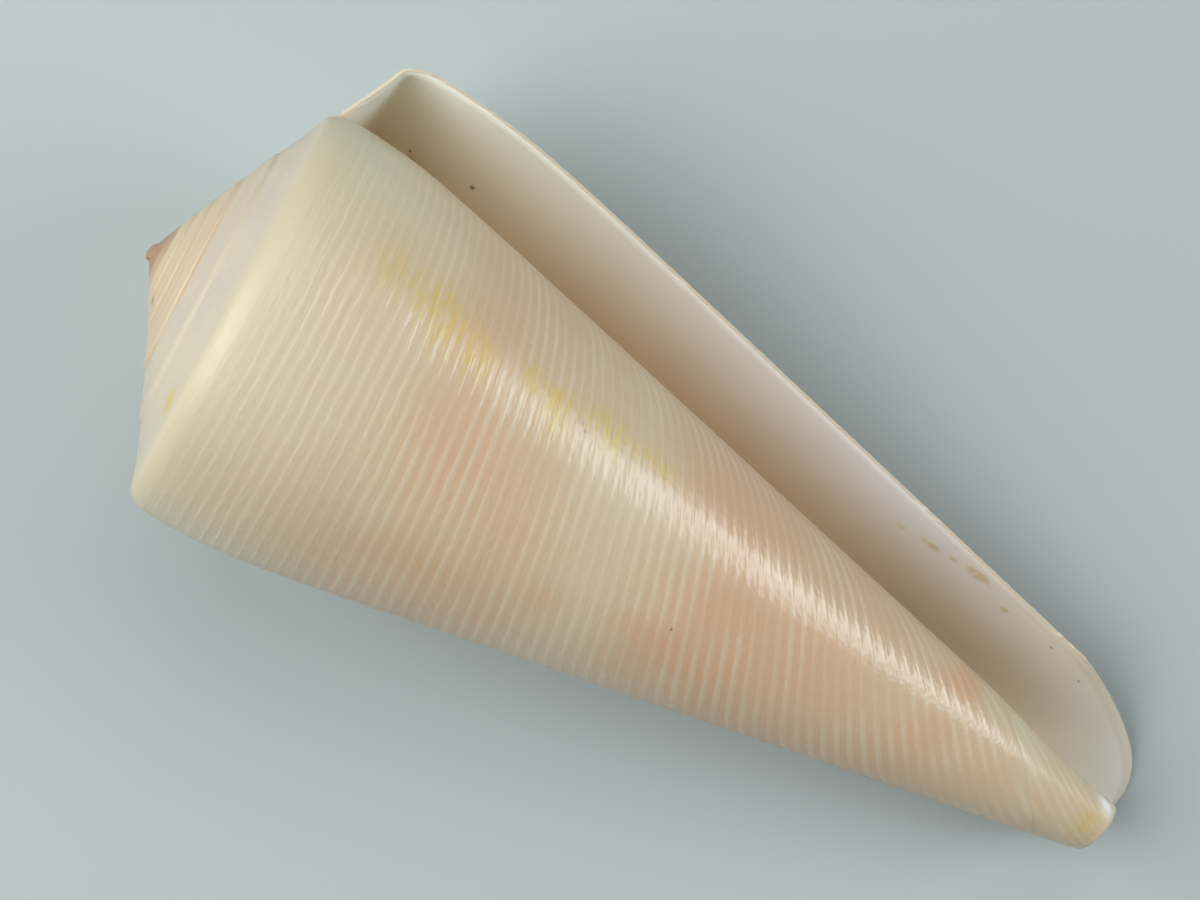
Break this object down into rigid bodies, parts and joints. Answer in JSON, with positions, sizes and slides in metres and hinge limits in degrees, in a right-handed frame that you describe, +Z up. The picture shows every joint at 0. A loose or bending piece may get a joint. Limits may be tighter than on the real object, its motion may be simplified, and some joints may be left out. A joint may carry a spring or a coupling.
{
  "type": "cone shell",
  "caption": "Right-handed cone shell lying on its back, with a stepped low spire, a straight tapering body whorl and a long narrow aperture facing up.",
  "frame": {"origin": "middle of the shell's footprint, on the surface it lies on", "axes": "+X from the apex of the spire to the narrow base, +Y towards the outer lip, +Z up, out of the aperture"},
  "size_m": [0.0764, 0.0326, 0.0304],
  "materials": {
    "shell": "glossy"
  },
  "bodies": {
    "root": {"cone_shell": "shell"}
  },
  "joints": []
}
